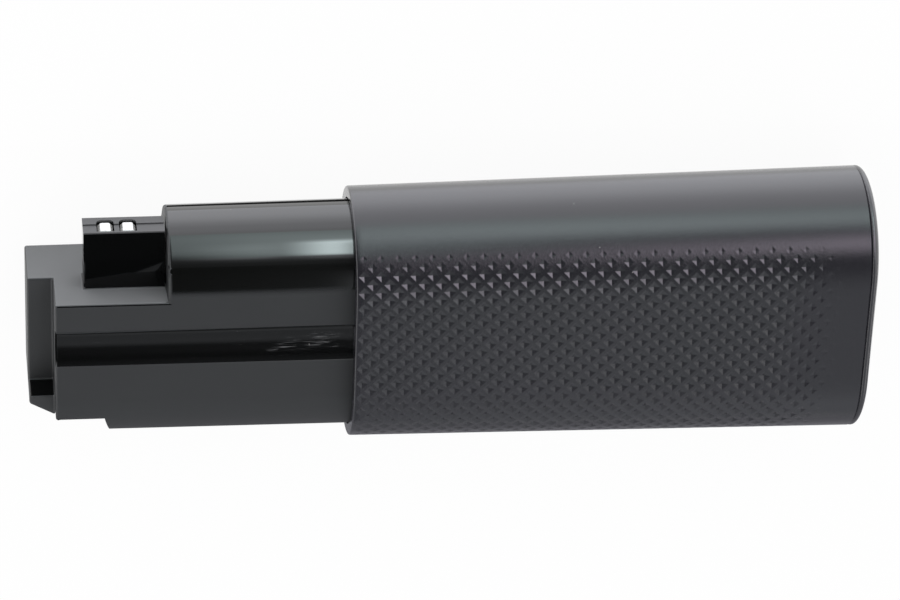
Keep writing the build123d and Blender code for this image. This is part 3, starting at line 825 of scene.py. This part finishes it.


# %% [markdown]
# ## Housing with softened edges
#
# A moulding hardly ever has a knife edge: its corners are rounded by a few tenths of a millimetre,
# and on black plastic that round is often all that shines.  The solid's edges are exact corners,
# so the housing here is a copy of the solid's mesh with flat regions merged, and with a true bevel
# on each outer edge.  Whether an edge lies outside is tested with a ray that starts on it.  The
# faces are then sorted as if each finish came from its own insert in the mould, but the lighter
# greys of the ledge and the tongue are painted light, and the black line is a painted dark line.

# %% Edges that lie outside
EDGE_ROUND = 0.42 * MM
EDGE_STEPS = 3
SHARP_FROM = math.radians(22)
RAY_START = 0.05 * MM
POST_TOP = carrier_high.y - 6.25 * MM
POST_BAND = 0.2 * MM
RAMP_PLACES = (14.3 * MM, 16.3 * MM)
RAMP_BELOW = -14 * MM


def lies_outside(tree, edge):
    """True when a ray from the edge, halfway between its faces, leaves the housing."""
    towards = sum((face.normal for face in edge.link_faces), Vector()).normalized()
    start = (edge.verts[0].co + edge.verts[1].co) / 2 + towards * RAY_START
    return tree.ray_cast(start, towards)[0] is None


def stays_sharp(edge):
    """The undercut's ramp, which runs out at a shallow angle, and the joint under the carrier."""
    middle = (edge.verts[0].co + edge.verts[1].co) / 2
    first, last = RAMP_PLACES
    on_ramp = first < middle.x - tip_x < last and middle.y < RAMP_BELOW
    return on_ramp or abs(middle.y - POST_TOP) < POST_BAND


def outer_edges(mesh):
    tree = BVHTree.FromBMesh(mesh)
    return [
        edge for edge in mesh.edges
        if edge.calc_face_angle(0) > SHARP_FROM
        and max(vert.co.x for vert in edge.verts) < rim_x
        and not stays_sharp(edge)
        and lies_outside(tree, edge)
    ]


# %% Which insert formed which face
SLACK = 0.1 * MM
KEY_LENGTH = 5.0 * MM
GROOVE_SIDES = (-3.1 * MM, 3.9 * MM)
GROOVE_BOTTOM = 9.0 * MM
BROAD_FACE = 11.9 * MM
WELL_DEPTH = 8.0 * MM
LEDGE_Y = 10.2 * MM
BESIDE_BLOCK = 0.5 * MM
PAINTED_LINE_SLOPES = (-0.32, -0.18)
FACING = 0.9
# these two greys are painted light: ledge and tongue are the same black plastic, lightened for this
# light
LEDGE_PAINTED_LIGHT = (0.165, 0.170, 0.178)
TONGUE_PAINTED_LIGHT = (0.028, 0.030, 0.032)
# the black line is a painted dark line: a stripe along the top of the print side that barely
# mirrors
PAINTED_LINE_BLACK = (0.003, 0.003, 0.003)
HOUSING_FINISHES = {
    "satin": FINISHES["housing"],
    "print side": print_side().material,
    "groove": rubbed_groove().material,
    "well": polished_well().material,
    "ledge": satin_black("matt_ledge_painted_light", 0.80, LEDGE_PAINTED_LIGHT, 0.014 * MM).material,
    "tongue": satin_black(
        "satin_tongue_painted_light", HOUSING_GLOSS, TONGUE_PAINTED_LIGHT, FINE_GRAIN,
    ).material,
    "line": satin_black("dull_painted_dark_line", 0.75, PAINTED_LINE_BLACK, FINE_GRAIN, LINE_IOR).material,
}


def insert_of(face):
    """The name of the finish that a face of the housing gets, from its place and its normal."""
    middle, normal = face.calc_center_median(), face.normal
    height = middle.z - axis_z
    past_key = middle.x > tip_x + KEY_LENGTH + SLACK
    past_block = middle.x > carrier_high.x + BESIDE_BLOCK
    in_groove = GROOVE_SIDES[0] < middle.y < GROOVE_SIDES[1] and height > GROOVE_BOTTOM
    if past_key and in_groove and (height < BROAD_FACE or abs(normal.y) > 0.03):
        return "groove"
    beside_block = carrier_low.x - SLACK < middle.x < carrier_high.x + SLACK
    if middle.y > carrier_low.y - WELL_DEPTH and beside_block and abs(normal.y) < 0.5:
        return "well"
    if not past_key and normal.y > FACING and middle.y < 0:
        return "well"
    if not past_key and normal.z > FACING and middle.y < LEDGE_Y - 1 * MM:
        return "tongue"
    if normal.y > FACING and abs(middle.y - LEDGE_Y) < 0.4 * MM and not past_block:
        return "ledge"
    if past_block and normal.y > 0.02 and abs(normal.x) < 0.3:
        return "line" if PAINTED_LINE_SLOPES[0] < normal.z < PAINTED_LINE_SLOPES[1] else "print side"
    return "satin"


# %% Build the housing
SAME_POINT = 0.06 * MM
SAME_PLANE = math.radians(0.4)
HOUSING_CREASE = 45


def softened_housing():
    mesh = bmesh.new()
    mesh.from_mesh(frame["nodes"]["inner_housing"].data)
    bmesh.ops.remove_doubles(mesh, verts=mesh.verts, dist=SAME_POINT)
    bmesh.ops.dissolve_limit(
        mesh, angle_limit=SAME_PLANE, verts=mesh.verts, edges=mesh.edges,
    )
    edges = outer_edges(mesh)
    bmesh.ops.bevel(
        mesh, geom=edges, offset=EDGE_ROUND, offset_type="OFFSET", segments=EDGE_STEPS,
        profile=0.5, affect="EDGES", clamp_overlap=False,
    )
    inserts = list(HOUSING_FINISHES)
    for face in mesh.faces:
        face.material_index = inserts.index(insert_of(face))
    print(len(edges), "edges softened by", EDGE_ROUND / MM, "mm")
    piece = finished_piece("softened_housing", mesh, FINISHES["housing"], HOUSING_CREASE)
    for name in inserts[1:]:
        piece.data.materials.append(HOUSING_FINISHES[name])
    piece.modifiers.new("even_shading", "WEIGHTED_NORMAL").keep_sharp = True
    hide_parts("inner_housing")


softened_housing()

# %% [markdown]
# ## Grip sleeve with its dimples
#
# The grip's field is a diagonal lattice of small square pits, like a steel diamond file pressed
# into the mould.  They could be faked with bump, but their facets catch the light one by one and
# they cut the outline, so they are modelled: the sleeve's own mesh is laid out on the lattice.
# Every second lattice point is the bottom of a pit, and the points between stay on the surface.

# %% Sizes of the sleeve and its dimples
SLEEVE_RING = 84
DIMPLE_DEPTH = 0.40 * MM
DIMPLE_REACH = 0.72
SHALLOWEST = 0.02
REACH_FADE = 0.25
# the rows' places at the rim and at the seam, in steps; the slant between them was fitted to one
# view, and on the real sleeve it may be a taper
ROW_SHIFTS = (-0.15, -0.87)
PITCH_RATIO = 0.991
FIRST_PIT = 1.5 * MM
RIM_ROUND = 0.35 * MM
SEAM_BEVEL = 0.25 * MM
END_LAND = 0.9 * MM
FIELD_START = -3.0 * MM
FIELD_START_FADE = 3.0 * MM
FIELD_END = 97.0 * MM
FIELD_FADE = 15.0 * MM
FIELD_TOP = 22.3 * MM
FIELD_TOP_FADE = 8.5 * MM
FIELD_BOTTOM = 29.0 * MM
FIELD_BOTTOM_FADE = 15.0 * MM
GRIP_FLARE = 3.1 * MM

grip_depth = grip_high.z - grip_low.z
grip_width_end = grip_high.y - grip_low.y
grip_width_rim = grip_width_end - GRIP_FLARE
half_pitch = outline_length(grip_width_rim, grip_depth) / SLEEVE_RING
pitch_along = PITCH_RATIO * half_pitch
print(f"half pitch {half_pitch / MM:.3f} mm round the grip, {pitch_along / MM:.3f} mm along it")


def grip_width(x):
    return grip_width_rim + GRIP_FLARE * (x - rim_x) / (seam_x - rim_x)


def row_shift(x):
    """How far the rows stand from the middle line, in steps; they drop towards the cap."""
    at_rim, at_seam = ROW_SHIFTS
    return at_rim + (at_seam - at_rim) * (x - rim_x) / (seam_x - rim_x)


def grip_point(x, steps):
    """A point on the sleeve, some lattice steps round from the middle of the broad face."""
    return outline_point(x, grip_width(x), grip_depth, (steps + row_shift(x)) / SLEEVE_RING)


def eased(value):
    value = min(max(value, 0.0), 1.0)
    return value * value * (3 - 2 * value)


def dimple_depth(x, steps):
    """Full depth inside the field, fading out towards its edges; the same on both broad faces."""
    steps = (steps + SLEEVE_RING / 2) % SLEEVE_RING - SLEEVE_RING / 2
    if abs(steps) > SLEEVE_RING / 4:
        steps = math.copysign(SLEEVE_RING / 2 - abs(steps), steps)
    round_place = steps * half_pitch
    limit, fade = FIELD_BOTTOM, FIELD_BOTTOM_FADE
    if round_place > 0:
        limit, fade = FIELD_TOP, FIELD_TOP_FADE
    from_rim = x - rim_x
    starting = (from_rim - FIELD_START) / FIELD_START_FADE
    ending = (FIELD_END - from_rim) / FIELD_FADE
    across = (limit - abs(round_place)) / fade
    return DIMPLE_DEPTH * eased(min(starting, ending)) * eased(across)


# %% The dimpled outside
def lattice_places(first_x, last_x):
    """Where the lattice's rings stand along the sleeve: even steps from the first pit onwards."""
    count = round((last_x - rim_x - FIRST_PIT) / pitch_along)
    return [first_x, *(rim_x + FIRST_PIT + k * pitch_along for k in range(count)), last_x]


def sleeve_lattice(mesh, first_x, last_x):
    """The dimpled outside; returns its first and last rings and the pits' facets."""
    places = lattice_places(first_x, last_x)
    facets = []
    grid = [[mesh.verts.new(grip_point(x, j)[0]) for j in range(SLEEVE_RING)] for x in places]
    ways = ((1, 0), (0, 1), (-1, 0), (0, -1))
    last = len(places) - 1
    for i, x in enumerate(places):
        for j in range((i + 1) % 2, SLEEVE_RING, 2):
            middle = grid[i][j]
            ring = [
                grid[i + di][(j + dj) % SLEEVE_RING] if 0 <= i + di <= last else None
                for di, dj in ways
            ]
            depth = dimple_depth(x, j) if 0 < i < last else 0.0
            pit = []
            if depth > SHALLOWEST * DIMPLE_DEPTH:
                middle.co = middle.co - grip_point(x, j)[1] * depth
                reach = DIMPLE_REACH * (depth / DIMPLE_DEPTH) ** REACH_FADE
                for di, dj in ways:
                    point = grip_point(x + di * reach * pitch_along, j + dj * reach)[0]
                    pit.append(mesh.verts.new(point))
            for k in range(4):
                here, after = ring[k], ring[(k + 1) % 4]
                if here is None or after is None:
                    continue
                if pit:
                    facets.append(mesh.faces.new((middle, pit[k], pit[(k + 1) % 4])))
                    mesh.faces.new((pit[k], here, after, pit[(k + 1) % 4]))
                else:
                    mesh.faces.new((middle, here, after))
    return grid[0], grid[-1], facets


# %% Bore and rounded ends
FIT = 0.3 * MM
HOUSING_WIDTH_GROWTH = 0.0138
HOUSING_DEPTH_GROWTH = 0.0132
SKIRT_WALL = 1.2 * MM
SKIRT_LENGTH = 5.0 * MM


def bore_ring(x, spread=0.0):
    """Width and depth of the sleeve's bore, which follows the housing's draft."""
    back = housing_high.x - x
    width = housing_high.y - housing_low.y - HOUSING_WIDTH_GROWTH * back
    depth = 2 * (housing_high.z - axis_z) - HOUSING_DEPTH_GROWTH * back
    return x, width + 2 * (FIT + spread), depth + 2 * (FIT + spread)


def inset_ring(x, width, depth, inset):
    return x, width - 2 * inset, depth - 2 * inset


def round_rings(x, width_at, depth, along, across, way, steps=4):
    """Rings of a quarter round from the side to the end face; way is -1 at the tip's end."""
    rings = []
    for k in range(steps + 1):
        angle = math.pi / 2 * k / steps
        place = x - way * along * (1 - math.sin(angle))
        rings.append(inset_ring(place, width_at, depth, across * (1 - math.cos(angle))))
    return rings


# %% Build the sleeve
SLEEVE_CREASE = math.radians(30)


def grip_sleeve():
    mesh = bmesh.new()
    first, last, facets = sleeve_lattice(mesh, rim_x + RIM_ROUND, seam_x - END_LAND)
    rebate_x = seam_x - SKIRT_LENGTH - FIT
    rim_rings = round_rings(rim_x, grip_width_rim, grip_depth, RIM_ROUND, RIM_ROUND, -1)
    seam_rings = [
        (seam_x - SEAM_BEVEL, grip_width_end, grip_depth),
        inset_ring(seam_x, grip_width_end, grip_depth, SEAM_BEVEL),
        bore_ring(seam_x, SKIRT_WALL + FIT),
        bore_ring(rebate_x, SKIRT_WALL + FIT),
        bore_ring(rebate_x),
        bore_ring(rim_x),
    ]
    inner_rings = seam_rings + rim_rings[:0:-1]
    chain = [add_ring(mesh, *ring, SLEEVE_RING, row_shift(ring[0])) for ring in inner_rings]
    for one, other in zip([last] + chain, chain + [first]):
        join_rings(mesh, one, other)
    bmesh.ops.recalc_face_normals(mesh, faces=mesh.faces)
    for edge in mesh.edges:
        edge.smooth = edge.calc_face_angle(0) < SLEEVE_CREASE
    for facet in facets:
        for edge in facet.edges:
            edge.smooth = False
    piece = finished_piece("dimpled_grip_sleeve", mesh, FINISHES["grip"], crease=None)
    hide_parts("grip_sleeve")


grip_sleeve()

# %% [markdown]
# ## End cap
#
# The cap closes the sleeve with a fine V-shaped seam.  Its outer edge is a quarter of an ellipse,
# which reaches further across the end than along the pack.

# %% Build the cap
CAP_ROUND_ALONG = 1.3 * MM
CAP_ROUND_ACROSS = 2.8 * MM
CAP_RING = 168
CAP_STEPS = 8


def end_cap():
    mesh = bmesh.new()
    rings = [
        bore_ring(seam_x),
        bore_ring(seam_x - SKIRT_LENGTH),
        bore_ring(seam_x - SKIRT_LENGTH, SKIRT_WALL),
        bore_ring(seam_x, SKIRT_WALL),
        inset_ring(seam_x, grip_width_end, grip_depth, SEAM_BEVEL),
        (seam_x + SEAM_BEVEL, grip_width_end, grip_depth),
        *round_rings(
            end_x, grip_width_end, grip_depth, CAP_ROUND_ALONG, CAP_ROUND_ACROSS, 1, CAP_STEPS,
        ),
    ]
    made = [add_ring(mesh, *ring, CAP_RING) for ring in rings]
    for one, other in zip(made, made[1:]):
        join_rings(mesh, one, other)
    mesh.faces.new(made[0])
    mesh.faces.new(made[-1])
    bmesh.ops.recalc_face_normals(mesh, faces=mesh.faces)
    piece = finished_piece("rounded_end_cap", mesh, FINISHES["cap"])
    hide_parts("end_cap")


end_cap()
